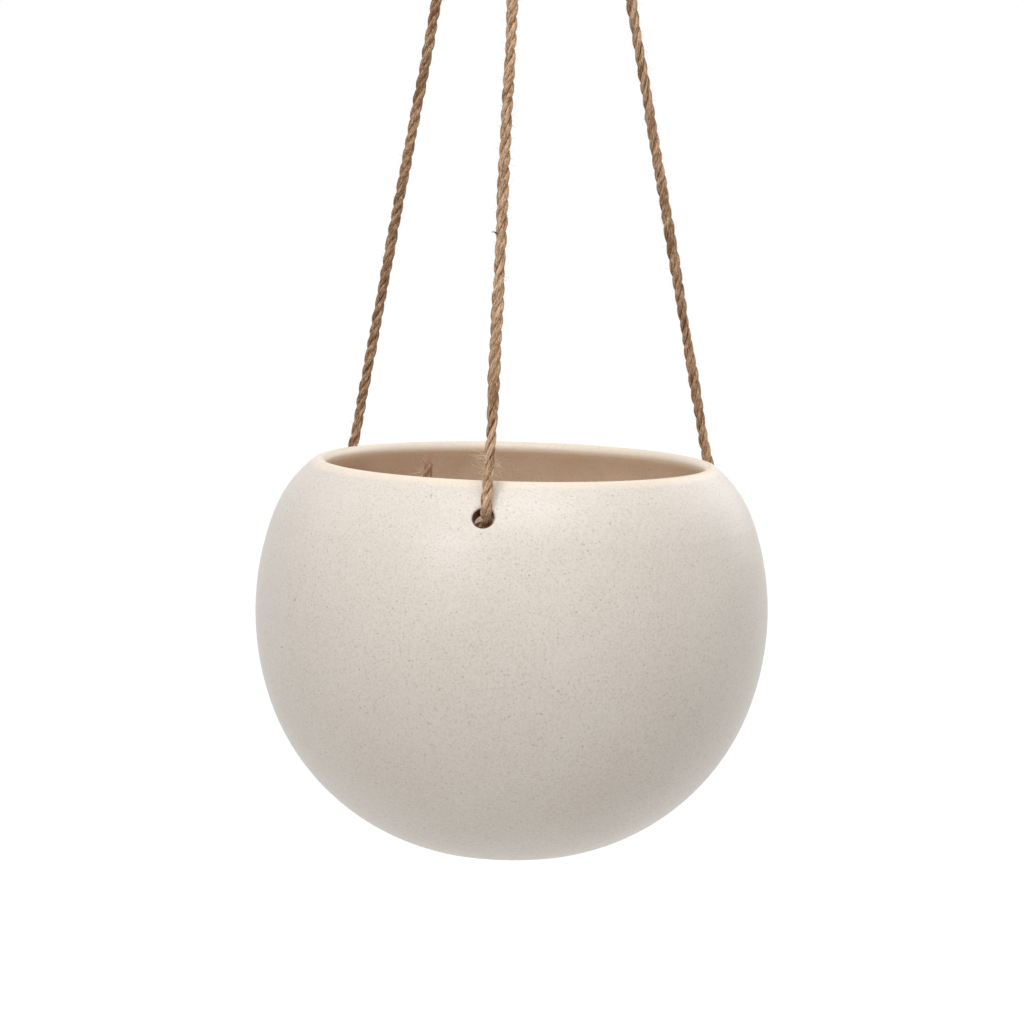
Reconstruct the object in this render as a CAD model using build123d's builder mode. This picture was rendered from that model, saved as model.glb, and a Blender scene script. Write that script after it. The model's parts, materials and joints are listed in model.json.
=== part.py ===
from build123d import *
import os
from math import asin, cos, degrees, pi, radians, sin, sqrt, tan

# A bellied stoneware pot hung from three jute ropes, which loop over a steel ring and are
# whipped together with twine below it. The origin is where a hook bears, at the inside top
# of the ring. +Z is up and -Y faces the viewer. Sizes are in millimetres, angles in degrees.

# Pot outline: arcs that run into each other, measured from the widest line of the belly
belly_radius = 95.0
belly_arc = 102.3
belly_low_angle = -18.8
belly_high_angle = 20.4
lower_arc = 84.9
shoulder_arc = 45.0
shoulder_end_angle = 52.1
foot_radius = 40.5
wall = 5.0
floor_thickness = 6.0

# Rope holes, square to the shoulder, with a rounded outer edge
hole_slack = 3.0
hole_angle = 33.7
hole_edge = 1.0
first_hole_azimuth = 270.0

# Ropes: one for each hole, and how far the belly hangs below the binding
rope_names = ["front", "right", "left"]
rope_diameter = 4.0
rope_gap = 0.3
binding_to_belly = 396.0

# Ring
ring_wire = 4.0
ring_outer = 40.0

# Loops over the ring's lower wire
fold_gap = 0.4
fold_flat = 0.1
straight_under_fold = 3.0
gather_length = 8.0
gather_share = 0.9
split_gap = 0.1

# Binding: a helix of twine round the six passes of rope
twine_diameter = 2.0
turn_gap = 0.46
binding_turns = 8

# Knots: how far each stands out round its hole, its length and its rounded ends
knot_hold = 2.1
knot_length = 9.6
knot_round = 2.6

# Routes, points chosen by hand. In a rope's own upright plane they run outwards and up from
# the middle of its hole. The left rope's tail is in x, y and z from there.
rope_foot = [(-5.16, -3.44), (0.94, 2.85), (-3.41, 8.33)]
rope_head_drop = 5.1
hanging_tail = [(-8.5, -6.9), (-14.5, -9.5), (-17.0, -17.0), (-16.5, -25.0)]
left_tail = [
    (7.4, -4.2, -6.9),
    (15.6, -4.0, -7.4),
    (26.6, -4.6, -6.1),
    (34.0, -4.3, -3.4),
    (36.2, -4.0, 4.7),
]

# Worked out from the sizes above
rope_radius = rope_diameter / 2
hole_radius = rope_radius + hole_slack / 2
knot_radius = hole_radius + knot_hold
twine_radius = twine_diameter / 2
lip_radius = wall / 2

ring_mid_radius = (ring_outer - ring_wire) / 2
ring_centre_z = ring_wire / 2 - ring_mid_radius
lower_wire_z = ring_centre_z - ring_mid_radius
fold_radius = ring_wire / 2 + fold_gap + rope_radius
gather_z = lower_wire_z - straight_under_fold

rope_pitch = rope_diameter + rope_gap
coil_radius = rope_pitch + rope_radius + rope_gap + twine_radius
turn_pitch = twine_diameter + turn_gap
binding_top_z = gather_z - gather_length
coil_top_z = binding_top_z - twine_radius
binding_bottom_z = coil_top_z - binding_turns * turn_pitch - twine_radius
rope_top_z = binding_bottom_z - rope_gap
belly_z = rope_top_z - binding_to_belly


def on_arc(centre, radius, angle):
    """The point of the pot's section on an arc, at an angle above the level."""
    a = radians(angle)
    return (centre[0] + radius * cos(a), centre[1] + radius * sin(a))


belly_centre = (belly_radius - belly_arc, 0.0)
lower_centre = on_arc(belly_centre, belly_arc - lower_arc, belly_low_angle)
shoulder_centre = on_arc(belly_centre, belly_arc - shoulder_arc, belly_high_angle)
lip_centre = on_arc(shoulder_centre, shoulder_arc - lip_radius, shoulder_end_angle)
hole_centre = on_arc(shoulder_centre, shoulder_arc, hole_angle)
foot_level = lower_centre[1] - sqrt(lower_arc**2 - (foot_radius - lower_centre[0]) ** 2)
inner_floor = foot_level + floor_thickness


def floor_angle(inset, level):
    """Where the lower arc, inset from the outside, meets a level face."""
    return degrees(asin((level - lower_centre[1]) / (lower_arc - inset)))


def hole_azimuth(index):
    """Where around the axis a rope and its hole stand."""
    return first_hole_azimuth + index * 360 / len(rope_names)


def upright_plane(azimuth):
    """A rope's plane: x runs outwards from the pot's axis and y up from the widest line."""
    a = radians(azimuth)
    return Plane(origin=(0, 0, belly_z), x_dir=(cos(a), sin(a), 0), z_dir=(sin(a), -cos(a), 0))


def arc_radii(points, share=0.45):
    """The arc at each inner point of a route, from a share of the shorter run beside it."""
    radii = []
    for before, here, after in zip(points, points[1:], points[2:]):
        run_in = Vector(*here) - Vector(*before)
        run_out = Vector(*after) - Vector(*here)
        half_turn = radians(run_in.get_angle(run_out)) / 2
        radii.append(share * min(run_in.length, run_out.length) / tan(half_turn))
    return radii


def tell_tube(part, path, diameter, radii):
    """Prints a tube's length and arcs, and its volume beside its section times its length."""
    swept = pi * diameter**2 / 4 * path.length
    arcs = ", ".join(f"{radius:.1f}" for radius in radii)
    print(f"{part.label}: length {path.length:.1f}, arc radii {arcs}")
    print(f"{part.label}: volume {part.volume:.1f}, section times length {swept:.1f}")


os.makedirs("parts", exist_ok=True)

# Pot: the wall is turned, and then the rope holes are bored and their edges rounded
with BuildPart() as pot:
    with BuildSketch(upright_plane(0)):
        with BuildLine():
            for inset, level in ((0, foot_level), (wall, inner_floor)):
                start = floor_angle(inset, level)
                corner = on_arc(lower_centre, lower_arc - inset, start)
                CenterArc(lower_centre, lower_arc - inset, start, belly_low_angle - start)
                side = belly_high_angle - belly_low_angle
                CenterArc(belly_centre, belly_arc - inset, belly_low_angle, side)
                neck = shoulder_end_angle - belly_high_angle
                CenterArc(shoulder_centre, shoulder_arc - inset, belly_high_angle, neck)
                Line((0, level), corner)
            CenterArc(lip_centre, lip_radius, shoulder_end_angle, 180)
            Line((0, foot_level), (0, inner_floor))
        make_face()
    revolve(axis=Axis.Z)
    for index in range(len(rope_names)):
        plane = upright_plane(hole_azimuth(index))
        mouth = plane.from_local_coords(hole_centre)
        above = plane.from_local_coords(on_arc(hole_centre, 1, hole_angle))
        with BuildSketch(Plane(origin=mouth, z_dir=above - mouth)):
            Circle(hole_radius)
        extrude(amount=2 * wall, both=True, mode=Mode.SUBTRACT)
        outer_edge = pot.edges().filter_by(
            lambda edge: (edge.center(CenterOf.MASS) - mouth).length < wall / 2
        )
        fillet(outer_edge, hole_edge)
pot.part.label = "pot"
export_step(pot.part, "parts/pot.step")

# Hanging ring
with BuildPart() as ring:
    with BuildSketch(Plane.XY.offset(ring_centre_z)):
        with Locations((ring_mid_radius, 0)):
            Circle(ring_wire / 2)
    revolve(axis=Axis((0, 0, ring_centre_z), (0, 1, 0)))
ring.part.label = "hanging_ring"
export_step(ring.part, "parts/hanging_ring.step")

# Ropes: out of the knot, through the hole, over its upper edge and straight to the binding
for index, name in enumerate(rope_names):
    route = [(hole_centre[0] + out, hole_centre[1] + up) for out, up in rope_foot]
    route += [
        (rope_pitch, binding_to_belly - rope_head_drop),
        (rope_pitch, binding_to_belly),
    ]
    radii = arc_radii(route)
    radii[0] = hole_edge + rope_gap + rope_radius
    with BuildPart() as rope:
        with BuildLine(upright_plane(hole_azimuth(index))) as line:
            FilletPolyline(route, radius=radii)
        path = line.wire()
        with BuildSketch(Plane(origin=path @ 0, z_dir=path % 0)):
            Circle(rope_radius)
        sweep(path=path)
    rope.part.label = f"rope_{name}"
    export_step(rope.part, f"parts/rope_{name}.step")
    tell_tube(rope.part, path, rope_diameter, radii)

# Loops: up through the binding, over the ring's lower wire and down to the trimmed end
for index, name in enumerate(rope_names):
    azimuth = radians(hole_azimuth(index))
    pass_x, pass_y = rope_pitch * cos(azimuth), rope_pitch * sin(azimuth)
    column_x = rope_pitch * round(cos(azimuth))
    row_y = fold_radius if pass_y > 0 else -fold_radius
    fold_top_z = ring_centre_z - sqrt(ring_mid_radius**2 - column_x**2) + fold_radius
    route = [
        (pass_x, pass_y, rope_top_z + split_gap),
        (pass_x, pass_y, binding_top_z),
        (column_x, row_y, gather_z),
        (column_x, row_y, fold_top_z),
        (column_x, -row_y, fold_top_z),
        (column_x, -row_y, gather_z),
        (pass_x, -pass_y, binding_top_z),
        (pass_x, -pass_y, binding_bottom_z),
    ]
    gather = Vector(*route[2]) - Vector(*route[1])
    gather_turn = radians(gather.get_angle(Vector(0, 0, 1)))
    gather_arc = gather_share * straight_under_fold / tan(gather_turn / 2)
    fold_arc = fold_radius - fold_flat / 2
    radii = [gather_arc, gather_arc, fold_arc, fold_arc, gather_arc, gather_arc]
    with BuildPart() as loop:
        with BuildLine() as line:
            FilletPolyline(route, radius=radii)
        path = line.wire()
        with BuildSketch(Plane(origin=path @ 0, z_dir=path % 0)):
            Circle(rope_radius)
        sweep(path=path)
    loop.part.label = f"loop_{name}"
    export_step(loop.part, f"parts/loop_{name}.step")
    tell_tube(loop.part, path, rope_diameter, radii)


def coil_point(quarter):
    """A point of the twine's helix, so many quarter turns down from its top."""
    a = quarter * pi / 2
    z = coil_top_z - quarter * turn_pitch / 4
    return Vector(coil_radius * cos(a), coil_radius * sin(a), z)


def coil_heading(quarter):
    """The way the twine runs at that point."""
    a = quarter * pi / 2
    return Vector(-sin(a), cos(a), -turn_pitch / (2 * pi * coil_radius)).normalized()


# Binding: each quarter turn is two arcs that meet on one tangent, and the ends run straight
with BuildPart() as binding:
    with BuildLine() as line:
        quarters = 4 * binding_turns
        Line(coil_point(0) - coil_heading(0) * twine_diameter, coil_point(0))
        for quarter in range(quarters):
            start, end = coil_point(quarter), coil_point(quarter + 1)
            start_heading, end_heading = coil_heading(quarter), coil_heading(quarter + 1)
            span, both = end - start, start_heading + end_heading
            bend = 2 * (1 - start_heading.dot(end_heading))
            reach = (sqrt(span.dot(both) ** 2 + bend * span.dot(span)) - span.dot(both)) / bend
            start_arm = start + start_heading * reach
            end_arm = end - end_heading * reach
            middle = (start_arm + end_arm) / 2
            TangentArc(start, middle, tangent=start_heading)
            TangentArc(middle, end, tangent=end_arm - start_arm)
        end = coil_point(quarters)
        Line(end, end + coil_heading(quarters) * twine_diameter)
    path = line.wire()
    with BuildSketch(Plane(origin=path @ 0, z_dir=path % 0)):
        Circle(twine_radius)
    sweep(path=path)
binding.part.label = "binding"
export_step(binding.part, "parts/binding.step")
tell_tube(binding.part, path, twine_diameter, [coil_radius])

samples_a_turn = 48
samples = [path @ (step / (samples_a_turn * binding_turns)) for step in
           range(samples_a_turn * binding_turns + 1)]
least_gap = min(
    (here - there).length
    for index, here in enumerate(samples)
    for there in samples[index + samples_a_turn // 2:]
) - twine_diameter
print(f"binding: least gap between turns {least_gap:.2f}")

# Knots: a lump drawn up against the wall inside, with the rope's end hanging out of it
for index, name in enumerate(rope_names):
    plane = upright_plane(hole_azimuth(index))
    face = plane.from_local_coords(
        (hole_centre[0] + rope_foot[0][0], hole_centre[1] + rope_foot[0][1])
    )
    ahead = plane.from_local_coords(
        (hole_centre[0] + rope_foot[1][0], hole_centre[1] + rope_foot[1][1])
    )
    inwards = (face - ahead).normalized()
    mouth = plane.from_local_coords(hole_centre)
    with BuildPart() as knot:
        with BuildSketch(Plane(origin=face, z_dir=inwards)):
            Circle(knot_radius)
        extrude(amount=knot_length)
        fillet(knot.edges().filter_by(GeomType.CIRCLE), knot_round)
        if name == "left":
            tail = [mouth + Vector(*step) for step in left_tail]
        else:
            tail = [
                plane.from_local_coords((hole_centre[0] + out, hole_centre[1] + up))
                for out, up in hanging_tail
            ]
        radii = arc_radii(tail)
        with BuildLine() as line:
            FilletPolyline(tail, radius=radii)
        path = line.wire()
        with BuildSketch(Plane(origin=path @ 0, z_dir=path % 0)):
            Circle(rope_radius)
        sweep(path=path)
    knot.part.label = f"knot_{name}"
    export_step(knot.part, f"parts/knot_{name}.step")
    bends = ", ".join(f"{radius:.1f}" for radius in radii)
    print(f"{knot.part.label}: tail {path.length:.1f} long, arc radii {bends}")

print(f"ring's lower wire at {lower_wire_z:.2f}, ropes leave the binding at {rope_top_z:.2f}")
print(f"belly at {belly_z:.2f}, foot at {belly_z + foot_level:.3f}")
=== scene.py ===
import json
import math
import bpy
import numpy as np
from mathutils import Matrix, Vector

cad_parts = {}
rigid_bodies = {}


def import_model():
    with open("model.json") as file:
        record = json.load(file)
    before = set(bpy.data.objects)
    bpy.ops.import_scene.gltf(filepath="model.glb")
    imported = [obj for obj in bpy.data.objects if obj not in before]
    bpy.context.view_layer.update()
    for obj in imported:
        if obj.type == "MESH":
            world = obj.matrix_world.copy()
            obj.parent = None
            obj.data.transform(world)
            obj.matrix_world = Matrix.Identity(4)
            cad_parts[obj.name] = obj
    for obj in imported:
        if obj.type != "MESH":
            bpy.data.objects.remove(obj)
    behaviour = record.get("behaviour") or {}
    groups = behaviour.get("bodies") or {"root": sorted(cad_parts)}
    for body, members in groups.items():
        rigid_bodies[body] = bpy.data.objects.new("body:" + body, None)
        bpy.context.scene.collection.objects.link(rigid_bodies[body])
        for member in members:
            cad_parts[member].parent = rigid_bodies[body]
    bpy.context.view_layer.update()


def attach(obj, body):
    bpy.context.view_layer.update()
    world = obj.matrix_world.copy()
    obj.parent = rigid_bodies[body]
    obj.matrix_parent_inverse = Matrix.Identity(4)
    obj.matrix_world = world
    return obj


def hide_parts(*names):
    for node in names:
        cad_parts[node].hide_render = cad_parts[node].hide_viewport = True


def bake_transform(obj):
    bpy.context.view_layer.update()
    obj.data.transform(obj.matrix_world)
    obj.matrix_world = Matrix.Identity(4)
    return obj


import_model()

# Hanging planter: a speckled stoneware pot on three jute ropes that loop over a steel ring.
# Metres, +Z up, the origin where a hook bears, -Y faces the viewer.

bpy.context.scene.view_settings.view_transform = "Standard"
print("frame loaded")

mm = 0.001
bellyZ = -462.98 * mm                     # the pot's widest line
footZ = -547.5 * mm                       # under the pot
ropeNames = ["front", "right", "left"]
ropeAzimuths = [270, 30, 150]             # degrees round the axis
holeOut, holeZ = 83.844, -418.04          # middle of each rope hole in mm: from the axis, and height
holeAngle = 33.7                          # degrees that a hole's axis rises outwards


# Small helpers for node trees and pieces

# values are sockets to link or plain values, by the name or number of the node's own socket
def addNode(tree, kind, values=None, **settings):
    node = tree.nodes.new(kind)
    for name, value in settings.items():
        setattr(node, name, value)
    for socket, value in (values or {}).items():
        if isinstance(value, bpy.types.NodeSocket):
            tree.links.new(value, node.inputs[socket])
        else:
            node.inputs[socket].default_value = value
    return node


def calc(tree, operation, *values):
    return addNode(tree, "ShaderNodeMath", dict(enumerate(values)), operation=operation).outputs[0]


def vectorCalc(tree, operation, *values):
    node = addNode(tree, "ShaderNodeVectorMath", dict(enumerate(values)), operation=operation)
    return node.outputs["Value" if operation in ("LENGTH", "DOT_PRODUCT", "DISTANCE") else "Vector"]


def scaled(tree, vector, factor):
    values = {0: vector, "Scale": factor}
    return addNode(tree, "ShaderNodeVectorMath", values, operation="SCALE").outputs["Vector"]


def remap(tree, value, low, high, toLow=0.0, toHigh=1.0):
    values = {"Value": value, "From Min": low, "From Max": high, "To Min": toLow, "To Max": toHigh}
    return addNode(tree, "ShaderNodeMapRange", values).outputs["Result"]


def noise(tree, vector, scale, detail=2.0, roughness=0.5):
    values = {"Vector": vector, "Scale": scale, "Detail": detail, "Roughness": roughness}
    return addNode(tree, "ShaderNodeTexNoise", values).outputs["Fac"]


def mixColour(tree, factor, first, second):
    values = {0: factor, 6: first, 7: second}                             # its colour sockets
    return addNode(tree, "ShaderNodeMix", values, data_type="RGBA").outputs[2]


# Linear colour from 0 to 255 levels as a picture program shows them
def colour(red, green, blue):
    levels = [part / 255 for part in (red, green, blue)]
    return (*[v / 12.92 if v < 0.04045 else ((v + 0.055) / 1.055) ** 2.4 for v in levels], 1)


# A node group with named inputs and outputs, with its two end nodes
def newTree(name, kind, inputs, outputs):
    tree = bpy.data.node_groups.new(name, kind)
    for label, socketType, value in inputs:
        socket = tree.interface.new_socket(name=label, in_out="INPUT", socket_type=socketType)
        if value is not None:
            socket.default_value = value
    for label, socketType in outputs:
        tree.interface.new_socket(name=label, in_out="OUTPUT", socket_type=socketType)
    return tree, tree.nodes.new("NodeGroupInput"), tree.nodes.new("NodeGroupOutput")


def newMaterial(name):
    material = bpy.data.materials.new(name)
    material.use_nodes = True
    return material, material.node_tree, material.node_tree.nodes["Principled BSDF"]


# Keeps values on the points of a piece, for its material to read
def storeFields(tree, geometry, fields):
    for kind, label, field in fields:
        values = {"Geometry": geometry, "Name": label, "Value": field}
        node = addNode(tree, "GeometryNodeStoreNamedAttribute", values, data_type=kind, domain="POINT")
        geometry = node.outputs[0]
    return geometry


def inMetres(points):
    return [Vector(point) * mm for point in points]


# A plain mesh from a route and a node tree; values are the tree's inputs by name
def growPiece(name, mesh, tree, values):
    piece = bpy.data.objects.new(name, mesh)
    bpy.context.scene.collection.objects.link(piece)
    modifier = piece.modifiers.new(tree.name, "NODES")
    modifier.node_group = tree
    for item in tree.interface.items_tree:
        if item.in_out == "INPUT" and item.name in values:
            modifier[item.identifier] = values[item.name]
    graph = bpy.context.evaluated_depsgraph_get()
    made = bpy.data.meshes.new_from_object(
        piece.evaluated_get(graph), preserve_all_data_layers=True, depsgraph=graph
    )
    made.name = name
    piece.modifiers.clear()
    piece.data = made
    return piece


# A smooth line through points in mm, as an edge mesh and as a list of places in metres
def makeRoute(name, points):
    curve = bpy.data.curves.new(name, "CURVE")
    curve.dimensions = "3D"
    spline = curve.splines.new("NURBS")
    spline.points.add(len(points) - 1)
    for point, place in zip(spline.points, points):
        point.co = (*[part * mm for part in place], 1)
    spline.order_u = 3                    # set after the points are added
    spline.use_endpoint_u = True
    spline.resolution_u = 16
    holder = bpy.data.objects.new(name, curve)
    mesh = bpy.data.meshes.new_from_object(holder)
    bpy.data.objects.remove(holder)
    return mesh, [tuple(vertex.co) for vertex in mesh.vertices]


# Camera, from the photograph's perspective

cameraValues = {
    "side": 7.02, "rise": 7.24, "roll": 1.42,                             # degrees
    "distance": 766.0, "right": 0.15, "up": 36.2,                         # mm from the belly's middle
    "focal": 2050, "frame": 1024, "sensor": 36,                           # pixels, pixels, mm
}
side, rise, roll = (math.radians(cameraValues[name]) for name in ("side", "rise", "roll"))
back = Vector((math.sin(side) * math.cos(rise), -math.cos(side) * math.cos(rise), math.sin(rise)))
level = Vector((math.cos(side), math.sin(side), 0))
upright = back.cross(level)
cameraRight = level * math.cos(roll) + upright * math.sin(roll)
cameraTop = upright * math.cos(roll) - level * math.sin(roll)
place = Vector((0, 0, bellyZ)) + cameraRight * cameraValues["right"] * mm
place += cameraTop * cameraValues["up"] * mm + back * cameraValues["distance"] * mm
camera = bpy.data.objects.new("camera", bpy.data.cameras.new("camera"))
camera.data.lens = cameraValues["focal"] / cameraValues["frame"] * cameraValues["sensor"]
camera.data.sensor_width = cameraValues["sensor"]
camera.matrix_world = Matrix((cameraRight, cameraTop, back)).transposed().to_4x4()
camera.location = place
bpy.context.scene.collection.objects.link(camera)
bpy.context.scene.camera = camera
print("camera placed")


# Fibre look, shared by the ropes, the twine and the loose hairs: streaks along the fibres, and painted
# shade in the grooves between the strands

def makeFibreGroup():
    inputs = [
        ("Light", "NodeSocketColor", None),
        ("Middle", "NodeSocketColor", None),
        # Gap: the colour of the painted shade in the grooves between strands
        ("Gap", "NodeSocketColor", None),
        ("Streaks", "NodeSocketFloat", 3.0),
    ]
    outputs = [("Color", "NodeSocketColor"), ("Height", "NodeSocketFloat")]
    tree, source, result = newTree("fibreLook", "ShaderNodeTree", inputs, outputs)
    fibre = addNode(tree, "ShaderNodeAttribute", attribute_name="fibre").outputs["Vector"]
    depth = addNode(tree, "ShaderNodeAttribute", attribute_name="depth").outputs["Fac"]
    tone = addNode(tree, "ShaderNodeAttribute", attribute_name="strandTone").outputs["Fac"]
    long = vectorCalc(tree, "MULTIPLY", fibre, (1, 1, 0.2))
    streak = noise(tree, long, source.outputs["Streaks"], 3.0, 0.65)
    fine = noise(tree, long, calc(tree, "MULTIPLY", source.outputs["Streaks"], 2.6), 2.0, 0.6)
    patch = noise(tree, vectorCalc(tree, "MULTIPLY", fibre, (0.3, 0.3, 0.11)), 1.0, 2.0, 0.5)
    mixed = calc(tree, "ADD", calc(tree, "MULTIPLY", streak, 0.55), calc(tree, "MULTIPLY", fine, 0.45))
    mixed = calc(tree, "ADD", mixed, calc(tree, "MULTIPLY_ADD", patch, 0.24, -0.12))
    mixed = calc(tree, "ADD", mixed, calc(tree, "MULTIPLY_ADD", tone, 0.14, -0.07))
    shade = remap(tree, mixed, 0.41, 0.6)
    shade = mixColour(tree, shade, source.outputs["Middle"], source.outputs["Light"])
    # Painted shade: where a point lies deep between the strands, near the rope's axis, the colour turns to
    # the Gap colour
    dark = remap(tree, calc(tree, "ADD", depth, calc(tree, "MULTIPLY", streak, 0.5)), 0.22, 0.52, 1.0, 0.0)
    shade = mixColour(tree, dark, shade, source.outputs["Gap"])
    tree.links.new(shade, result.inputs["Color"])
    tree.links.new(calc(tree, "ADD", streak, calc(tree, "MULTIPLY", fine, 0.6)), result.inputs["Height"])
    return tree


fibreGroup = makeFibreGroup()
fibreFinish = {
    "bumpDistance": 0.3 * mm, "roughest": 0.92, "smoothest": 0.72, "specular": 0.25,
    "sheenRoughness": 0.5, "sheenTint": (230, 205, 175),
}


def makeFibreMaterial(name, values):
    material, tree, shader = newMaterial(name)
    group = addNode(tree, "ShaderNodeGroup", node_tree=fibreGroup)
    for socket in ("Light", "Middle", "Gap"):
        group.inputs[socket].default_value = colour(*values[socket.lower()])
    group.inputs["Streaks"].default_value = values["streaks"]
    bump = addNode(tree, "ShaderNodeBump", {
        "Strength": values["bump"], "Distance": fibreFinish["bumpDistance"],
        "Height": group.outputs["Height"],
    })
    tree.links.new(group.outputs["Color"], shader.inputs["Base Color"])
    tree.links.new(bump.outputs["Normal"], shader.inputs["Normal"])
    roughest, smoothest = fibreFinish["roughest"], fibreFinish["smoothest"]
    rough = remap(tree, group.outputs["Height"], 0.4, 1.2, roughest, smoothest)
    tree.links.new(rough, shader.inputs["Roughness"])
    shader.inputs["Specular IOR Level"].default_value = fibreFinish["specular"]
    shader.inputs["Sheen Weight"].default_value = values["sheen"]
    shader.inputs["Sheen Roughness"].default_value = fibreFinish["sheenRoughness"]
    shader.inputs["Sheen Tint"].default_value = colour(*fibreFinish["sheenTint"])
    return material


# Rope lay: strands wound round a route, each with its fibres' relief

def makeLayTree():
    inputs = [
        ("Route", "NodeSocketGeometry", None),
        ("Strands", "NodeSocketInt", 3),
        ("Strand radius", "NodeSocketFloat", 0.93 * mm),
        ("Lay radius", "NodeSocketFloat", 1.07 * mm),
        ("Lay length", "NodeSocketFloat", 14 * mm),
        ("Step", "NodeSocketFloat", 0.5 * mm),
        ("Sides", "NodeSocketInt", 14),
        ("Unevenness", "NodeSocketFloat", 0.12),
        ("Relief", "NodeSocketFloat", 0.12 * mm),
        ("Wander", "NodeSocketFloat", 0.0),
        ("Tone", "NodeSocketFloat", 0.0),
        ("Seed", "NodeSocketFloat", 1.0),
        ("Material", "NodeSocketMaterial", None),
    ]
    outputs = [("Rope", "NodeSocketGeometry")]
    tree, source, result = newTree("ropeLay", "GeometryNodeTree", inputs, outputs)
    value = source.outputs
    line = addNode(tree, "GeometryNodeMeshToCurve", {0: value["Route"]}).outputs[0]
    line = addNode(tree, "GeometryNodeResampleCurve",
                   {"Curve": line, "Length": value["Step"]}, mode="LENGTH")
    middle = addNode(tree, "GeometryNodeCaptureAttribute", {0: line.outputs[0]}, domain="POINT")
    middle.capture_items.new("VECTOR", "centre")
    tree.links.new(addNode(tree, "GeometryNodeInputPosition").outputs[0], middle.inputs["centre"])
    copies = addNode(tree, "GeometryNodeDuplicateElements",
                     {"Geometry": middle.outputs[0], "Amount": value["Strands"]}, domain="SPLINE")
    along = addNode(tree, "GeometryNodeSplineParameter").outputs["Length"]
    alongMm = calc(tree, "MULTIPLY", along, 1000.0)
    index = copies.outputs["Duplicate Index"]

    def alongNoise(perMm, shift, detail=1.0):
        spot = addNode(tree, "ShaderNodeCombineXYZ", {0: calc(tree, "MULTIPLY", alongMm, perMm), 1: shift})
        return calc(tree, "SUBTRACT", noise(tree, spot.outputs[0], 1.0, detail), 0.5)

    seed = calc(tree, "MULTIPLY", value["Seed"], 7.31)
    seedStrand = calc(tree, "ADD", seed, calc(tree, "MULTIPLY_ADD", index, 3.7, 11.0))
    turns = calc(tree, "ADD", calc(tree, "DIVIDE", along, value["Lay length"]),
                 calc(tree, "DIVIDE", index, value["Strands"]))
    slowTwist = calc(tree, "MULTIPLY", alongNoise(0.03, seed), 2.4)
    angle = calc(tree, "MULTIPLY_ADD", turns, 2 * math.pi, slowTwist)
    angle = calc(tree, "ADD", angle, calc(tree, "MULTIPLY", alongNoise(0.09, seedStrand), 0.7))
    uneven = calc(tree, "MULTIPLY", alongNoise(0.05, seed, 2.0), value["Unevenness"])
    unevenStrand = calc(tree, "MULTIPLY", alongNoise(0.11, seedStrand, 2.0), value["Unevenness"])
    size = calc(tree, "ADD", calc(tree, "MULTIPLY_ADD", uneven, 2.4, 1.0),
                calc(tree, "MULTIPLY", unevenStrand, 1.6))
    normal = addNode(tree, "GeometryNodeInputNormal").outputs[0]
    tangent = addNode(tree, "GeometryNodeInputTangent").outputs[0]
    across = vectorCalc(tree, "CROSS_PRODUCT", tangent, normal)
    reach = calc(tree, "MULTIPLY", value["Lay radius"], calc(tree, "MULTIPLY_ADD", uneven, 1.5, 1.0))
    offset = vectorCalc(tree, "ADD",
                        scaled(tree, normal, calc(tree, "MULTIPLY", calc(tree, "COSINE", angle), reach)),
                        scaled(tree, across, calc(tree, "MULTIPLY", calc(tree, "SINE", angle), reach)))
    for way, shift in ((normal, 2.0), (across, 5.0)):                     # the whole rope wanders
        drift = calc(tree, "MULTIPLY", alongNoise(0.022, calc(tree, "ADD", seed, shift)), value["Wander"])
        offset = vectorCalc(tree, "ADD", offset, scaled(tree, way, drift))
    facts = addNode(tree, "GeometryNodeCaptureAttribute", {0: copies.outputs[0]}, domain="POINT")
    fields = (("FLOAT", "along", alongMm), ("FLOAT", "strand", index), ("FLOAT", "size", size),
              ("VECTOR", "offset", offset))
    for kind, label, field in fields:
        facts.capture_items.new(kind, label)
        tree.links.new(field, facts.inputs[label])
    laid = addNode(tree, "GeometryNodeSetPosition",
                   {"Geometry": facts.outputs[0], "Offset": facts.outputs["offset"]})
    ring = addNode(tree, "GeometryNodeCurvePrimitiveCircle", {"Radius": 1.0, "Resolution": value["Sides"]})
    around = addNode(tree, "GeometryNodeCaptureAttribute", {0: ring.outputs[0]}, domain="POINT")
    around.capture_items.new("VECTOR", "around")
    tree.links.new(addNode(tree, "GeometryNodeInputPosition").outputs[0], around.inputs["around"])
    thickness = calc(tree, "MULTIPLY", value["Strand radius"], facts.outputs["size"])
    tube = addNode(tree, "GeometryNodeCurveToMesh", {
        "Curve": laid.outputs[0], "Profile Curve": around.outputs[0], "Scale": thickness, "Fill Caps": True,
    })
    lift = addNode(tree, "ShaderNodeCombineXYZ", {2: facts.outputs["along"]}).outputs[0]
    shift = {0: calc(tree, "MULTIPLY", facts.outputs["strand"], 5.3), 1: seed}
    shift = addNode(tree, "ShaderNodeCombineXYZ", shift).outputs[0]
    fibre = vectorCalc(tree, "ADD", vectorCalc(tree, "ADD", around.outputs["around"], lift), shift)
    yarn = noise(tree, vectorCalc(tree, "MULTIPLY", fibre, (1, 1, 0.15)), 1.9, 2.0, 0.6)
    push = calc(tree, "MULTIPLY", calc(tree, "SUBTRACT", yarn, 0.5),
                calc(tree, "MULTIPLY", value["Relief"], 2.0))
    meshNormal = addNode(tree, "GeometryNodeInputNormal").outputs[0]
    rough = addNode(tree, "GeometryNodeSetPosition",
                    {"Geometry": tube.outputs[0], "Offset": scaled(tree, meshNormal, push)})
    place = addNode(tree, "GeometryNodeInputPosition").outputs[0]
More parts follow.
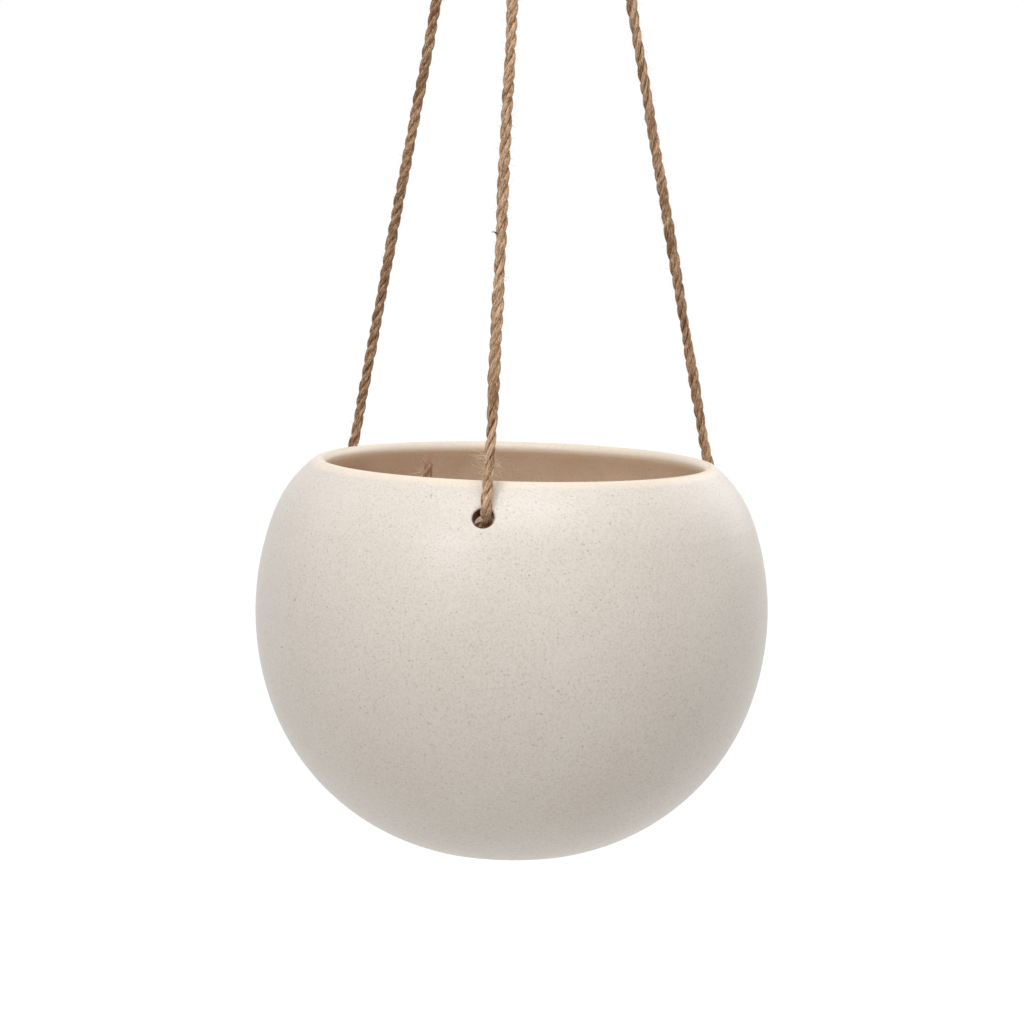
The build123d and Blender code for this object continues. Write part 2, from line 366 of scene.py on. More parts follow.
    # How far out from the rope's axis a point lies; the material paints shade into the grooves where it is
    # low
    out = vectorCalc(tree, "DISTANCE", place, middle.outputs["centre"])
    full = calc(tree, "ADD", value["Lay radius"], value["Strand radius"])
    depth = remap(tree, calc(tree, "DIVIDE", out, full), 0.58, 0.98)
    spot = {0: calc(tree, "MULTIPLY", facts.outputs["along"], 0.035),
            1: calc(tree, "MULTIPLY_ADD", facts.outputs["strand"], 4.1, seed)}
    strandTone = noise(tree, addNode(tree, "ShaderNodeCombineXYZ", spot).outputs[0], 1.0, 1.0)
    fields = (("FLOAT_VECTOR", "fibre", fibre), ("FLOAT", "depth", depth),
              ("FLOAT", "strandTone", calc(tree, "ADD", strandTone, value["Tone"])))
    geometry = storeFields(tree, rough.outputs[0], fields)
    geometry = addNode(tree, "GeometryNodeSetShadeSmooth", {"Geometry": geometry}).outputs[0]
    geometry = addNode(tree, "GeometryNodeRealizeInstances", {"Geometry": geometry}).outputs[0]
    last = addNode(tree, "GeometryNodeSetMaterial", {"Geometry": geometry, "Material": value["Material"]})
    tree.links.new(last.outputs[0], result.inputs["Rope"])
    return tree


# Loose hairs: fine bent fibres that stand out of a route

def makeHairTree():
    inputs = [
        ("Route", "NodeSocketGeometry", None),
        ("Count", "NodeSocketInt", 1000),
        ("From", "NodeSocketFloat", 1.6 * mm),
        ("Length", "NodeSocketFloat", 3 * mm),
        ("Thickness", "NodeSocketFloat", 0.03 * mm),
        ("Forward", "NodeSocketFloat", 1.0),
        ("Outward", "NodeSocketFloat", 0.5),
        ("Seed", "NodeSocketInt", 1),
        ("Material", "NodeSocketMaterial", None),
    ]
    outputs = [("Hairs", "NodeSocketGeometry")]
    tree, source, result = newTree("looseHairs", "GeometryNodeTree", inputs, outputs)
    value = source.outputs
    line = addNode(tree, "GeometryNodeMeshToCurve", {0: value["Route"]}).outputs[0]
    spots = addNode(tree, "GeometryNodeCurveToPoints",
                    {"Curve": line, "Count": value["Count"]}, mode="COUNT").outputs
    tangent, normal = spots["Tangent"], spots["Normal"]
    seed = value["Seed"]

    def chance(low, high, step):
        values = {2: low, 3: high, "Seed": calc(tree, "ADD", seed, float(step))}
        return addNode(tree, "FunctionNodeRandomValue", values, data_type="FLOAT").outputs[1]

    angle = chance(0.0, 2 * math.pi, 1)
    across = vectorCalc(tree, "CROSS_PRODUCT", tangent, normal)
    outward = vectorCalc(tree, "ADD", scaled(tree, normal, calc(tree, "COSINE", angle)),
                         scaled(tree, across, calc(tree, "SINE", angle)))
    forward = calc(tree, "MULTIPLY", value["Forward"], chance(-0.4, 1.0, 2))
    aside = calc(tree, "MULTIPLY", value["Outward"], chance(0.4, 1.6, 3))
    way = vectorCalc(tree, "ADD", scaled(tree, tangent, forward), scaled(tree, outward, aside))
    jitter = calc(tree, "MULTIPLY", chance(-1, 1, 4), mm)
    offset = vectorCalc(tree, "ADD", scaled(tree, outward, value["From"]), scaled(tree, tangent, jitter))
    moved = addNode(tree, "GeometryNodeSetPosition", {"Geometry": spots["Points"], "Offset": offset})
    join = addNode(tree, "GeometryNodeJoinGeometry")
    profile = addNode(tree, "GeometryNodeCurvePrimitiveCircle", {"Radius": 1.0, "Resolution": 3})
    thin = calc(tree, "DIVIDE", value["Thickness"], value["Length"])
    tip = addNode(tree, "GeometryNodeSplineParameter").outputs["Factor"]
    width = calc(tree, "MULTIPLY", thin, calc(tree, "MULTIPLY_ADD", tip, -0.7, 1.0))
    bends = (                                                             # three hairs of length 1
        ((0.18, 0, 0.5), (0.02, 0, 1.0)),
        ((0.1, 0.1, 0.55), (0.42, 0.1, 0.85)),
        ((-0.1, 0.12, 0.4), (0.3, 0.5, 0.6)),
    )
    for middle, end in bends:
        bend = addNode(tree, "GeometryNodeCurveQuadraticBezier",
                       {"Resolution": 5, "Start": (0, 0, 0), "Middle": middle, "End": end})
        hair = addNode(tree, "GeometryNodeCurveToMesh",
                       {"Curve": bend.outputs[0], "Profile Curve": profile.outputs[0], "Scale": width})
        single = addNode(tree, "GeometryNodeGeometryToInstance", {0: hair.outputs[0]})
        tree.links.new(single.outputs[0], join.inputs[0])
    fullTurns = {0: (0, 0, 0), 1: (6.28, 6.28, 6.28), "Seed": seed}
    spin = addNode(tree, "FunctionNodeRandomValue", fullTurns, data_type="FLOAT_VECTOR").outputs[0]
    spin = addNode(tree, "FunctionNodeEulerToRotation", {0: spin}).outputs[0]
    turn = addNode(tree, "FunctionNodeAlignRotationToVector", {"Rotation": spin, "Vector": way}, axis="Z")
    long = calc(tree, "MULTIPLY", value["Length"], calc(tree, "POWER", chance(0.45, 1.15, 5), 2.0))
    grown = addNode(tree, "GeometryNodeInstanceOnPoints", {
        "Points": moved.outputs[0], "Instance": join.outputs[0], "Pick Instance": True,
        "Rotation": turn.outputs[0], "Scale": long,
    })
    geometry = addNode(tree, "GeometryNodeRealizeInstances", {"Geometry": grown.outputs[0]}).outputs[0]
    spot = scaled(tree, addNode(tree, "GeometryNodeInputPosition").outputs[0], 400.0)
    fields = (("FLOAT_VECTOR", "fibre", spot), ("FLOAT", "depth", 1.0), ("FLOAT", "strandTone", 0.6))
    geometry = storeFields(tree, geometry, fields)
    last = addNode(tree, "GeometryNodeSetMaterial", {"Geometry": geometry, "Material": value["Material"]})
    tree.links.new(last.outputs[0], result.inputs["Hairs"])
    return tree


layTree = makeLayTree()
hairTree = makeHairTree()

# Ropes: three strands of jute, from the knot through the hole and over the ring to the cut end

jute = {
    # The gap colour is painted shade, laid into the grooves between the strands
    "light": (230, 194, 160), "middle": (128, 92, 64), "gap": (98, 66, 43),
    "streaks": 2.1, "bump": 1.0, "sheen": 0.25,
}
ropeValues = {
    "Strands": 3, "Strand radius": 1.02 * mm, "Lay radius": 0.98 * mm, "Lay length": 17 * mm,
    "Step": 0.5 * mm, "Sides": 18, "Unevenness": 0.28, "Relief": 0.3 * mm, "Wander": 0.9 * mm,
}
ropeTones = {"front": 0.05, "right": -0.15, "left": -0.3}                 # each rope's colour shifted lighter or darker
footShift = {"front": 1.0, "right": 0.0, "left": 0.0}                     # mm sideways in the hole
ropeHairs = {
    "Count": 2400, "From": 1.5 * mm, "Length": 2.3 * mm, "Thickness": 0.034 * mm,
    "Forward": 1.0, "Outward": 0.6,
}
juteHair = {**jute, "middle": (178, 142, 108), "streaks": 1.0, "bump": 0.2}
juteMaterial = makeFibreMaterial("jute", jute)
hairMaterial = makeFibreMaterial("juteHair", juteHair)

footRoute = [(-5.16, -3.44), (0.94, 2.85), (-3.41, 8.33), (-8.69, 31.74)]   # out and up from the hole
headRoute = [(5.422, -77.055), (4.3, -72.08), (4.3, -66.98)]                # out from the axis, and z
loopValues = {
    "passOut": 4.3, "row": 4.8,                                           # mm from the axis
    "frontTop": -29.2, "sideTop": -28.7, "legs": -37, "gathered": -45, "cutEnd": -66.68,   # heights
}


def ropeRoute(name):
    azimuth = math.radians(ropeAzimuths[ropeNames.index(name)])
    out = (math.cos(azimuth), math.sin(azimuth))
    line = [(holeOut + r, holeZ + z, footShift[name]) for r, z in footRoute]
    line += [(r, z, 0.0) for r, z in headRoute]
    route = [(r * out[0] - shift * out[1], r * out[1] + shift * out[0], z) for r, z, shift in line]
    x, y = loopValues["passOut"] * out[0], loopValues["passOut"] * out[1]
    column = loopValues["passOut"] * round(out[0])
    row = math.copysign(loopValues["row"], y)
    top = loopValues["sideTop"] if column else loopValues["frontTop"]
    gathered, legs = loopValues["gathered"], loopValues["legs"]
    route += [(x, y, gathered), (column, row, legs), (column, row, top)]
    route += [(column, -row, top), (column, -row, legs), (x, -y, gathered)]
    return route + [(x, -y, loopValues["cutEnd"])]


ropes, hairs, ropeLines = {}, {}, {}
for number, name in enumerate(ropeNames):
    mesh, ropeLines[name] = makeRoute(f"route_{name}", ropeRoute(name))
    layInputs = {**ropeValues, "Tone": ropeTones[name], "Seed": 1.0 + number, "Material": juteMaterial}
    ropes[name] = growPiece(f"jute_rope_{name}", mesh, layTree, layInputs)
    hairInputs = {**ropeHairs, "Seed": 10 + 7 * number, "Material": hairMaterial}
    hairs[name] = growPiece(f"rope_hairs_{name}", mesh, hairTree, hairInputs)
    print("rope", name, len(ropes[name].data.polygons), "faces, hairs", len(hairs[name].data.polygons))


# Knots: an overhand knot pulled tight against the inside of the hole, with its frayed tail

knotValues = {
    "diameter": 3.3, "span": 2.2, "scale": 2.2, "points": 90,             # mm
    "pulls": 300, "pull": 0.3, "smoothing": 0.1, "push": 0.4,
}


# An open overhand knot, pulled at both ends while it keeps its length and its turns push apart
def tieKnot(values):
    t = np.linspace(-values["span"], values["span"], 400)
    line = values["scale"] * np.stack([t**3 - 3 * t, t**4 - 4 * t**2 + 2, t**5 / 5 - 2 * t], 1)
    run = np.concatenate([[0], np.cumsum(np.linalg.norm(np.diff(line, axis=0), axis=1))])
    even = np.linspace(0, run[-1], values["points"])
    p = np.stack([np.interp(even, run, line[:, k]) for k in range(3)], 1)
    rest = run[-1] / (values["points"] - 1)
    i, j = np.triu_indices(len(p), int(np.ceil(1.7 * values["diameter"] / rest)))
    for step in range(values["pulls"]):
        p[0, 2] -= values["pull"]
        p[-1, 2] += values["pull"]
        p[[0, -1], :2] *= 0.8
        for again in range(4):
            p[1:-1] += values["smoothing"] * ((p[:-2] + p[2:]) / 2 - p[1:-1])
            for first in (0, 1, 0, 1):
                a = np.arange(first, len(p) - 1, 2)
                gap = p[a + 1] - p[a]
                fix = gap * (1 - rest / np.linalg.norm(gap, axis=1, keepdims=True)) / 2
                p[a] += fix
                p[a + 1] -= fix
            gap = p[j] - p[i]
            far = np.linalg.norm(gap, axis=1)
            near = far < values["diameter"]
            share = (values["diameter"] - far[near]) / far[near] * values["push"]
            push = gap[near] * share[:, None]
            np.add.at(p, i[near], -push)
            np.add.at(p, j[near], push)
    near = np.linalg.norm(p[j] - p[i], axis=1) < 1.25 * values["diameter"]
    first, last = i[near].min(), j[near].max()                            # where it meets itself
    low, high = p[first:last + 1, 2].min(), p[first:last + 1, 2].max()
    kept = p[first - 3:last + 4].copy()
    kept[:, 2] -= low - values["diameter"] / 2
    print("knot", len(kept), "points, lump", round(high - low + values["diameter"], 1), "mm long")
    return kept


tightKnot = tieKnot(knotValues)
knotLean = (0.696, 0.718)                                                 # inwards and down
tailEnds = {                                                              # mm from the hole
    "front": [(0, 17.0, -17.0), (0, 16.5, -25.0)],
    "right": [(-14.72, -8.5, -17.0), (-14.29, -8.25, -25.0)],
    "left": [(19.0, -6.5, -11.8), (27.0, -4.9, -9.6), (33.4, -4.4, -6.5), (34.0, -4.0, 4.5)],
}
knotLay = {**ropeValues, "Strand radius": 0.88 * mm, "Lay radius": 0.85 * mm, "Lay length": 13 * mm,
           "Step": 0.45 * mm, "Wander": 0.0}
knotHairs = {**ropeHairs, "Count": 220, "From": 1.3 * mm}
frayValues = {
    "Count": 130, "From": 0.8 * mm, "Length": 5.0 * mm, "Thickness": 0.06 * mm,
    "Forward": 1.3, "Outward": 0.45,
}
frayReach = 1.5                                                           # mm of the tail that frays


# Hairs about a short line with the two ends that the values give
def growTuft(name, values, material):
    stub = bpy.data.meshes.new(f"{name}_stub")
    stub.from_pydata(values["ends"], [(0, 1)], [])
    return growPiece(name, stub, hairTree, {**values, "Material": material})


knots, knotFuzz = {}, {}
for number, name in enumerate(ropeNames):
    azimuth = math.radians(ropeAzimuths[number])
    out = Vector((math.cos(azimuth), math.sin(azimuth), 0))
    inward = (-knotLean[0] * out + Vector((0, 0, -knotLean[1]))).normalized()
    cross = Vector((-out.y, out.x, 0))
    lift = inward.cross(cross)
    hole = Vector((holeOut * out.x, holeOut * out.y, holeZ))
    face = hole + out * footRoute[0][0] + Vector((0, 0, footRoute[0][1])) + cross * footShift[name]
    points = [face + cross * x + lift * y + inward * z for x, y, z in tightKnot.tolist()]
    points += [hole + Vector(spot) for spot in tailEnds[name]]
    mesh, line = makeRoute(f"knot_route_{name}", [tuple(spot) for spot in points])
    layInputs = {**knotLay, "Seed": 5.0 + number, "Material": juteMaterial}
    knots[name] = growPiece(f"jute_knot_{name}", mesh, layTree, layInputs)
    hairInputs = {**knotHairs, "Seed": 50 + number, "Material": hairMaterial}
    fuzz = growPiece(f"knot_hairs_{name}", mesh, hairTree, hairInputs)
    tip = Vector(line[-1])
    frayStart = tip - (tip - Vector(line[-8])).normalized() * frayReach * mm
    fray = growTuft(f"frayed_tail_{name}",
                    {**frayValues, "ends": [frayStart, tip], "Seed": 70 + number}, hairMaterial)
    knotFuzz[name] = [fuzz, fray]
print("knots tied")

# Loose tufts and a dark fleck that show beside the front rope and the left tail

tuftValues = {
    "ends": inMetres([(0.9, -77.7, -397.5), (0.9, -79.4, -405.0)]), "Count": 90, "From": 1.2 * mm,
    "Length": 5.2 * mm, "Thickness": 0.08 * mm, "Forward": 0.5, "Outward": 1.0, "Seed": 31,
}
fanValues = {
    "ends": inMetres([(-40.0, 37.4, -417.0), (-41.4, 37.4, -416.6)]), "Count": 44, "From": 0.5 * mm,
    "Length": 7.5 * mm, "Thickness": 0.06 * mm, "Forward": 1.2, "Outward": 0.3, "Seed": 44,
}
fleckValues = {
    "ends": inMetres([(-0.6, -62.4, -324.7), (-1.5, -62.6, -324.4)]), "Count": 6, "From": 0.05 * mm,
    "Length": 2.1 * mm, "Thickness": 0.3 * mm, "Forward": 1.0, "Outward": 0.05, "Seed": 12,
}
palestHair = {**jute, "light": (246, 224, 198), "middle": (224, 192, 160)}
darkFibre = {**jute, "light": (60, 58, 58), "middle": (38, 36, 36)}
paleMaterial = makeFibreMaterial("palestHair", palestHair)
fleckMaterial = makeFibreMaterial("darkFibre", darkFibre)
tuft = growTuft("front_tuft", tuftValues, paleMaterial)
fan = growTuft("left_tail_fan", fanValues, paleMaterial)
fleck = growTuft("front_fleck", fleckValues, fleckMaterial)
print("tufts and fleck grown")

# Binding: two-ply twine whipped round the six passes of rope, its ends laid under the turns

twine = {
    # The gap colour is painted shade, laid into the grooves between the plies
    "light": (205, 182, 150), "middle": (160, 132, 100), "gap": (84, 60, 40),
    "streaks": 2.6, "bump": 0.5, "sheen": 0.2,
}
bindingValues = {
    "radius": 7.6, "pitch": 2.46, "turns": 8, "top": -46.0,               # mm
    "perTurn": 14,                                                        # route points in a turn
    "head": [(5.7, 0.0, -54.0), (5.7, 0.0, -48.2), (6.3, 0.0, -46.1)],    # its start, under the turns
    "tail": [(6.3, 0.0, 0.0), (5.7, 0.0, 2.2), (5.7, 0.0, 8.0)],          # its end, up from the last turn
}
twineLay = {
    "Strands": 2, "Strand radius": 0.52 * mm, "Lay radius": 0.45 * mm, "Lay length": 5.0 * mm,
    "Step": 0.32 * mm, "Sides": 10, "Unevenness": 0.1, "Relief": 0.05 * mm, "Seed": 3.0,
}
twineHairs = {
    "Count": 500, "From": 0.8 * mm, "Length": 1.8 * mm, "Thickness": 0.022 * mm,
    "Forward": 1.0, "Outward": 0.5, "Seed": 90,
}
perTurn, top = bindingValues["perTurn"], bindingValues["top"]
radius = bindingValues["radius"] / math.cos(math.pi / perTurn) ** 0.5
coil = []
for step in range(1, perTurn * bindingValues["turns"]):
    turn = 2 * math.pi * step / perTurn
    height = top - bindingValues["pitch"] * step / perTurn
    coil.append((radius * math.cos(turn), radius * math.sin(turn), height))
bottom = top - bindingValues["pitch"] * bindingValues["turns"]
coilTail = [(x, y, bottom + z) for x, y, z in bindingValues["tail"]]
mesh, coilLine = makeRoute("binding_route", bindingValues["head"] + coil + coilTail)
twineMaterial = makeFibreMaterial("twine", twine)
binding = growPiece("twine_binding", mesh, layTree, {**twineLay, "Material": twineMaterial})
bindingFuzz = growPiece("twine_hairs", mesh, hairTree, {**twineHairs, "Material": twineMaterial})
print("binding", len(binding.data.polygons), "faces, route", len(coilLine), "points")


# Pot: matte speckled glaze outside, cream on the lip, warmer and mottled inside, with painted shade on the
# walls of the rope holes

def makeSpeckGroup():
    inputs = [
        ("Spacing", "NodeSocketFloat", 2.0),
        ("Size", "NodeSocketFloat", 0.3),
        ("Share", "NodeSocketFloat", 0.5),
    ]
    outputs = [("Mask", "NodeSocketFloat"), ("Chance", "NodeSocketFloat")]
    tree, source, result = newTree("specks", "ShaderNodeTree", inputs, outputs)
    place = addNode(tree, "ShaderNodeTexCoord").outputs["Object"]
    cells = scaled(tree, place, calc(tree, "DIVIDE", 1000.0, source.outputs["Spacing"]))
    warp = addNode(tree, "ShaderNodeTexNoise", {"Vector": cells, "Scale": 3.0, "Detail": 1.0})
    cells = vectorCalc(tree, "ADD", cells, scaled(tree, warp.outputs["Color"], 0.22))
    voronoi = addNode(tree, "ShaderNodeTexVoronoi", {"Vector": cells, "Scale": 1.0})
    parts = addNode(tree, "ShaderNodeSeparateColor", {0: voronoi.outputs["Color"]}).outputs
    reach = calc(tree, "DIVIDE", source.outputs["Size"], source.outputs["Spacing"])
    reach = calc(tree, "MULTIPLY", reach, calc(tree, "MULTIPLY_ADD", parts[0], 0.9, 0.35))
    inside = calc(tree, "SUBTRACT", reach, voronoi.outputs["Distance"])
    mask = remap(tree, calc(tree, "DIVIDE", inside, reach), 0.0, 0.45)
    kept = calc(tree, "LESS_THAN", parts[1], source.outputs["Share"])
    tree.links.new(calc(tree, "MULTIPLY", mask, kept), result.inputs["Mask"])
    tree.links.new(parts[2], result.inputs["Chance"])
    return tree


potValues = {
    "glaze": (226, 217, 207), "shade": (222, 212, 202), "pale": (238, 231, 222), "lip": (247, 232, 210),
    # The bore colour is painted shade on the walls of the rope holes
    "inside": (240, 224, 207), "insideDark": (233, 213, 193), "boreShade": (104, 72, 50),
    "speck": (158, 142, 124), "darkSpeck": (104, 88, 72),
    "fineSpecks": (0.7, 0.26, 0.6), "mediumSpecks": (1.3, 0.34, 0.4),     # spacing and size in mm, share
    "largeSpecks": (6.0, 0.5, 0.3),
    "lipMiddle": (72.52, 53.51),                                          # mm from the axis, over the belly
    "lipBand": (2.3, 3.8),                                                # mm from the lip's middle
    "insideEdge": (53.2, 52.3),                                           # mm over the belly
    "boreEdge": (4.0, 3.6),                                               # mm from a rope hole's axis
    "boreReach": 9,                                                       # mm from its middle
    "roughness": 0.36, "specular": 0.4, "bump": 0.22, "bumpDistance": 0.15 * mm,
}


def makeGlaze():
    values = potValues
    material, tree, shader = newMaterial("stoneware_glaze")
    coords = addNode(tree, "ShaderNodeTexCoord").outputs
    place = coords["Object"]
    specks = makeSpeckGroup()

    def speckLayer(spacing, size, share):
        node = addNode(tree, "ShaderNodeGroup", node_tree=specks)
        for label, value in (("Spacing", spacing), ("Size", size), ("Share", share)):
            node.inputs[label].default_value = value
        return node.outputs

    cloud = noise(tree, place, 28.0, 3.0, 0.55)
    mottle = noise(tree, place, 180.0, 4.0, 0.6)
    body = remap(tree, cloud, 0.35, 0.65)
    body = mixColour(tree, body, colour(*values["shade"]), colour(*values["glaze"]))
    body = mixColour(tree, remap(tree, mottle, 0.5, 0.75, 0.0, 0.15), body, colour(*values["pale"]))
    fine = speckLayer(*values["fineSpecks"])
    medium = speckLayer(*values["mediumSpecks"])
    large = speckLayer(*values["largeSpecks"])
    grain = noise(tree, place, 1100.0, 2.0, 0.7)
    body = mixColour(tree, remap(tree, grain, 0.42, 0.62, 0.0, 0.3), body, colour(*values["pale"]))
    body = mixColour(tree, remap(tree, grain, 0.5, 0.36, 0.0, 0.1), body, colour(*values["speck"]))
    parts = addNode(tree, "ShaderNodeSeparateXYZ", {0: place}).outputs
    flat = addNode(tree, "ShaderNodeCombineXYZ", {0: parts[0], 1: parts[1]}).outputs[0]
    radius = vectorCalc(tree, "LENGTH", flat)
    height = calc(tree, "SUBTRACT", parts[2], bellyZ)
    lipOut, lipUp = (part * mm for part in values["lipMiddle"])
    fromLip = {0: calc(tree, "SUBTRACT", radius, lipOut), 1: calc(tree, "SUBTRACT", height, lipUp)}
    fromLip = addNode(tree, "ShaderNodeCombineXYZ", fromLip).outputs[0]
    lipGap = calc(tree, "ADD", vectorCalc(tree, "LENGTH", fromLip),
                  calc(tree, "MULTIPLY_ADD", mottle, 1.6 * mm, -0.8 * mm))
    lip = remap(tree, lipGap, values["lipBand"][0] * mm, values["lipBand"][1] * mm, 1.0, 0.0)
    centre = vectorCalc(tree, "NORMALIZE", vectorCalc(tree, "SUBTRACT", place, (0, 0, bellyZ)))
    facing = vectorCalc(tree, "DOT_PRODUCT", centre, coords["Normal"])
    edge = calc(tree, "ADD", height, calc(tree, "MULTIPLY_ADD", mottle, 0.8 * mm, -0.4 * mm))
    below = remap(tree, edge, values["insideEdge"][0] * mm, values["insideEdge"][1] * mm)
    inner = calc(tree, "MULTIPLY", remap(tree, facing, 0.1, -0.1), below)
    inner = calc(tree, "MULTIPLY", inner, 0.97)
    boreShade = None                                                           # painted shade on the walls of the rope holes
    slope = math.radians(holeAngle)
    for azimuth in ropeAzimuths:
        x, y = math.cos(math.radians(azimuth)), math.sin(math.radians(azimuth))
        spot = vectorCalc(tree, "SUBTRACT", place, (holeOut * x * mm, holeOut * y * mm, holeZ * mm))
        axis = (x * math.cos(slope), y * math.cos(slope), math.sin(slope))
        gap = vectorCalc(tree, "LENGTH", vectorCalc(tree, "CROSS_PRODUCT", spot, axis))
        near = remap(tree, gap, values["boreEdge"][0] * mm, values["boreEdge"][1] * mm)
        within = calc(tree, "LESS_THAN", vectorCalc(tree, "LENGTH", spot), values["boreReach"] * mm)
        near = calc(tree, "MULTIPLY", near, within)
        boreShade = near if boreShade is None else calc(tree, "MAXIMUM", boreShade, near)
    wash = remap(tree, noise(tree, place, 60.0, 4.0, 0.6), 0.35, 0.65)
    inside = mixColour(tree, wash, colour(*values["insideDark"]), colour(*values["inside"]))
    base = mixColour(tree, inner, body, inside)
    base = mixColour(tree, calc(tree, "MULTIPLY", lip, 0.75), base, colour(*values["lip"]))
    # Painted shade: the walls of the rope holes darkened to the bore colour
    base = mixColour(tree, boreShade, base, colour(*values["boreShade"]))
    bare = calc(tree, "SUBTRACT", 1.0, calc(tree, "MULTIPLY", lip, 0.6))
    layers = ((fine, "speck", 0.5), (medium, "speck", 0.6), (large, "darkSpeck", 0.7))
    for layer, tone, strength in layers:
        chance = calc(tree, "MULTIPLY_ADD", layer["Chance"], 0.6, 0.4)
        amount = calc(tree, "MULTIPLY", layer["Mask"], chance)
        amount = calc(tree, "MULTIPLY", calc(tree, "MULTIPLY", amount, strength), bare)
        base = mixColour(tree, amount, base, colour(*values[tone]))
    tree.links.new(base, shader.inputs["Base Color"])
    rough = calc(tree, "MULTIPLY_ADD", mottle, 0.16, values["roughness"] - 0.08)
    rough = calc(tree, "ADD", rough, calc(tree, "MULTIPLY", inner, 0.12))
    tree.links.new(rough, shader.inputs["Roughness"])
    pits = calc(tree, "MULTIPLY", calc(tree, "ADD", medium["Mask"], large["Mask"]), 0.35)
    relief = calc(tree, "SUBTRACT", calc(tree, "MULTIPLY_ADD", mottle, 1.2, grain), pits)
    bump = addNode(tree, "ShaderNodeBump", {
        "Strength": values["bump"], "Distance": values["bumpDistance"], "Height": relief,
    })
    tree.links.new(bump.outputs["Normal"], shader.inputs["Normal"])
    shader.inputs["Specular IOR Level"].default_value = values["specular"]
    return material


# Ring: drawn wire, brushed along its length

steelValues = {
    "dark": (170, 168, 165), "light": (206, 204, 200), "smooth": 0.24, "rough": 0.4,
    "bump": 0.15, "bumpDistance": 0.05 * mm, "ringMiddle": -16 * mm,
}


def makeSteel():
    material, tree, shader = newMaterial("brushed_steel")
    place = addNode(tree, "ShaderNodeTexCoord").outputs["Object"]
    parts = addNode(tree, "ShaderNodeSeparateXYZ", {0: place}).outputs
    turn = calc(tree, "ARCTAN2", parts[0], calc(tree, "ADD", parts[2], -steelValues["ringMiddle"]))
    line = {0: calc(tree, "MULTIPLY", turn, 0.6), 1: calc(tree, "MULTIPLY", parts[1], 2200.0)}
    brush = noise(tree, addNode(tree, "ShaderNodeCombineXYZ", line).outputs[0], 1.0, 3.0, 0.6)
    base = remap(tree, brush, 0.3, 0.7)
    base = mixColour(tree, base, colour(*steelValues["dark"]), colour(*steelValues["light"]))
    tree.links.new(base, shader.inputs["Base Color"])
    rough = remap(tree, brush, 0.3, 0.7, steelValues["smooth"], steelValues["rough"])
    tree.links.new(rough, shader.inputs["Roughness"])
    bump = addNode(tree, "ShaderNodeBump", {
        "Strength": steelValues["bump"], "Distance": steelValues["bumpDistance"], "Height": brush,
    })
    tree.links.new(bump.outputs["Normal"], shader.inputs["Normal"])
    shader.inputs["Metallic"].default_value = 1.0
    return material


for name, material in (("pot", makeGlaze()), ("hanging_ring", makeSteel())):
    target = bpy.data.objects[name]
    for slot in target.material_slots:
        slot.material = material
print("pot and ring finished")

# What moves with what

extras = {"front": [tuft, fleck], "right": [], "left": [fan]}
for name in ropeNames:
    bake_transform(ropes[name])
    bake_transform(hairs[name])
    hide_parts(f"rope_{name}", f"loop_{name}")
    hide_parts(f"knot_{name}")
    for piece in (knots[name], *knotFuzz[name], *extras[name]):
        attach(piece, "planter")
    tuple(part * mm for part in ropeRoute(name)[0])
for piece in (binding, bindingFuzz):
    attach(piece, "loops")
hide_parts("binding")
print("pieces ride")


# Floor, light and background

lightValues = {
    "fill": 0.47, "floorBelow": 0.28, "floorReach": 30,                   # metres under the pot, each way
    "floorColour": (0.66, 0.65, 0.63, 1), "floorRoughness": 0.9,
    "floorGlow": 1.48, "floorShare": 0.6,                                 # its own light where it is seen
    "lamps": {
        "key": {"power": 3.3, "size": 0.34, "spot": (-0.42, -0.95, 0.66)},
        "top": {"power": 8.0, "size": 1.0, "spot": (0.12, -0.48, 1.2)},
        "low": {"power": 0.4, "size": 0.8, "spot": (0.4, -0.9, -0.2)},
        "back": {"power": 3.0, "size": 1.0, "spot": (0.75, 0.95, 0.55)},
    },
}


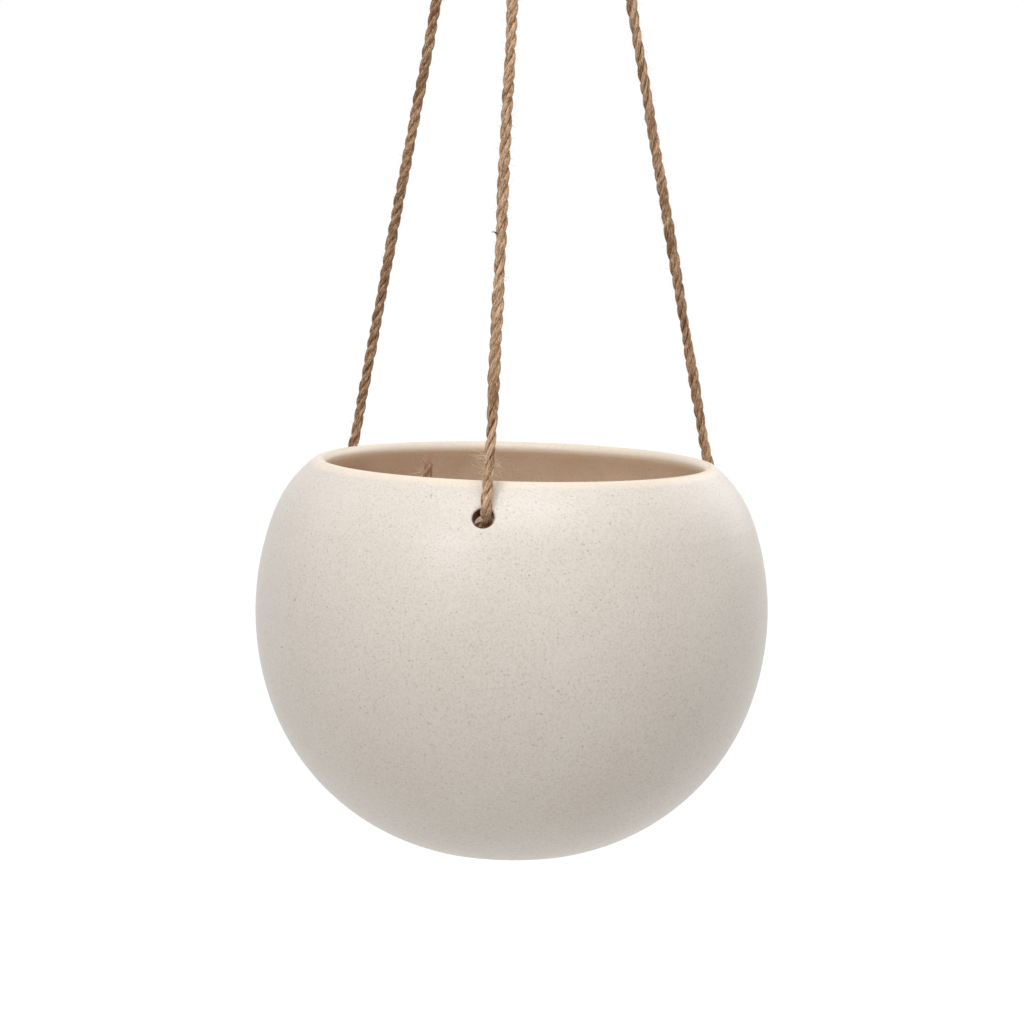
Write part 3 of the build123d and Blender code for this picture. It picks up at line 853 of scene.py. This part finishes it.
# 1 where the camera sees it, also by reflection or through glass, and 0 where it only gives light
def seenDirectly(tree):
    path = addNode(tree, "ShaderNodeLightPath").outputs
    seen = calc(tree, "MAXIMUM", path["Is Camera Ray"], path["Is Glossy Ray"])
    return calc(tree, "MAXIMUM", seen, path["Is Transmission Ray"])


def makeWorld():
    world = bpy.data.worlds.new("studio")
    bpy.context.scene.world = world
    world.use_nodes = True
    tree = world.node_tree
    background = tree.nodes["Background"]
    strength = remap(tree, seenDirectly(tree), 0.0, 1.0, lightValues["fill"], 1.0)
    background.inputs["Color"].default_value = (1, 1, 1, 1)
    tree.links.new(strength, background.inputs["Strength"])


def makeFloor():
    z, reach = footZ - lightValues["floorBelow"], lightValues["floorReach"]
    corners = [(-reach, -reach, z), (reach, -reach, z), (reach, reach, z), (-reach, reach, z)]
    mesh = bpy.data.meshes.new("floor")
    mesh.from_pydata(corners, [], [(0, 1, 2, 3)])
    floor = bpy.data.objects.new("floor", mesh)
    bpy.context.scene.collection.objects.link(floor)
    material, tree, shader = newMaterial("pale_floor")
    shader.inputs["Base Color"].default_value = lightValues["floorColour"]
    shader.inputs["Roughness"].default_value = lightValues["floorRoughness"]
    glow = addNode(tree, "ShaderNodeEmission",
                   {"Color": (1, 1, 1, 1), "Strength": lightValues["floorGlow"]})
    share = calc(tree, "MULTIPLY", seenDirectly(tree), lightValues["floorShare"])
    mix = addNode(tree, "ShaderNodeMixShader", {0: share, 1: shader.outputs[0], 2: glow.outputs[0]})
    tree.links.new(mix.outputs[0], tree.nodes["Material Output"].inputs["Surface"])
    mesh.materials.append(material)


def addLight(name, power, size, spot):
    data = bpy.data.lights.new(name, "AREA")
    data.shape = "DISK"
    data.energy = power
    data.size = size
    lamp = bpy.data.objects.new(name, data)
    aim = Vector((0, 0, bellyZ))                                          # the belly's middle
    place = Vector(spot) + aim
    turn = (place - aim).to_track_quat("Z", "Y").to_matrix().to_4x4()
    lamp.matrix_world = Matrix.Translation(place) @ turn
    bpy.context.scene.collection.objects.link(lamp)


makeWorld()
makeFloor()
for name, lamp in lightValues["lamps"].items():
    addLight(name, lamp["power"], lamp["size"], lamp["spot"])
print("stage and light set")
